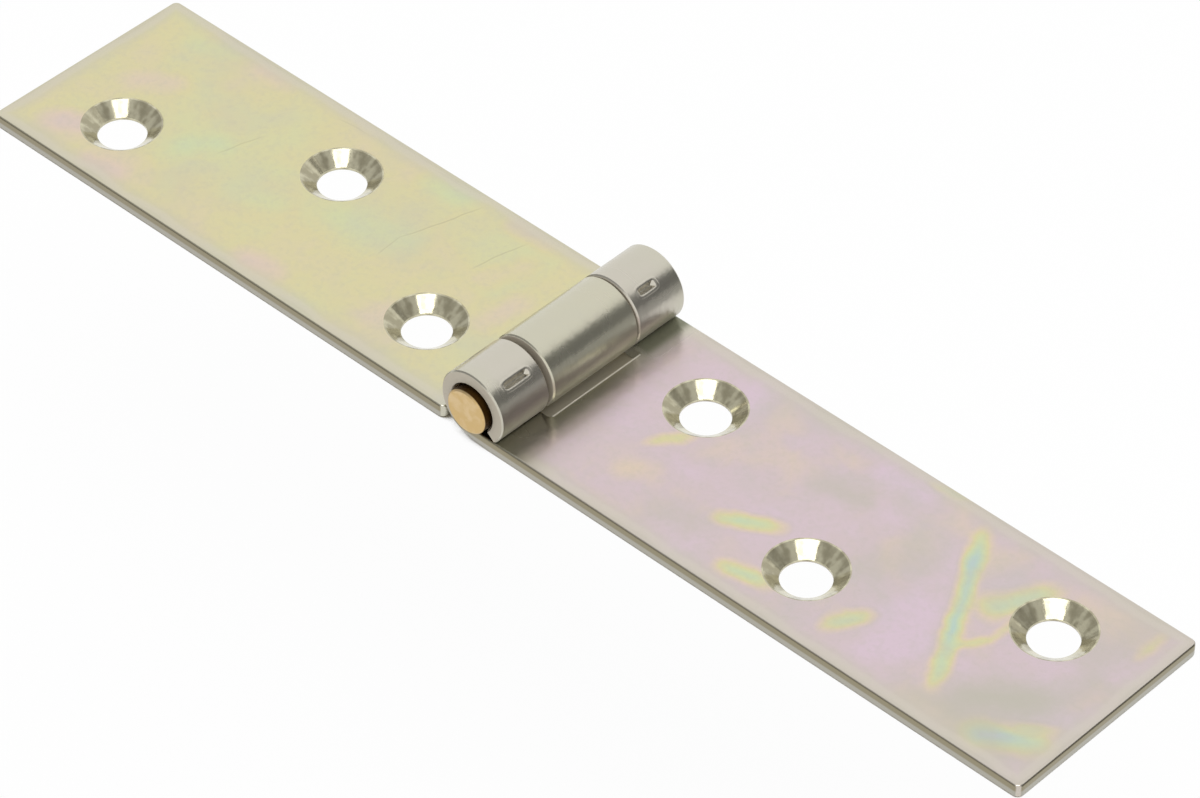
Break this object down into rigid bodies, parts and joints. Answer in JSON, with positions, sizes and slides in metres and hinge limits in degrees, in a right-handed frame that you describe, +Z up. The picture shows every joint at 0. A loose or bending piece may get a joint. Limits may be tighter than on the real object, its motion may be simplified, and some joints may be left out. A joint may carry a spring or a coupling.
{
  "type": "flap hinge",
  "caption": "Long flat flap hinge: two plated steel leaves with staggered countersunk screw holes, rolled knuckles standing above the face, and a brass pin.",
  "frame": {"origin": "on the back plane of the open leaves, under the middle of the pin", "axes": "+X along the frame leaf, away from the pin; +Y along the pin; +Z up, out of the countersunk faces"},
  "size_m": [0.16, 0.032, 0.0098],
  "materials": {
    "rose_zinc": "zinc plated steel, iridescent passivation with a rose cast, satin",
    "yellow_zinc": "zinc plated steel, iridescent passivation with a yellow cast, satin",
    "pin_brass": "plain drawn brass, dull"
  },
  "bodies": {
    "frame_side": {"frame_leaf": "rose_zinc", "hinge_pin": "pin_brass"},
    "flap_side": {"flap_leaf": "yellow_zinc"}
  },
  "joints": [
    {"name": "flap_swing", "type": "hinge", "parent": "frame_side", "child": "flap_side", "pos_m": [0, 0, 0.00505], "axis": [0, 1, 0], "range_deg": [-85, 180]}
  ]
}
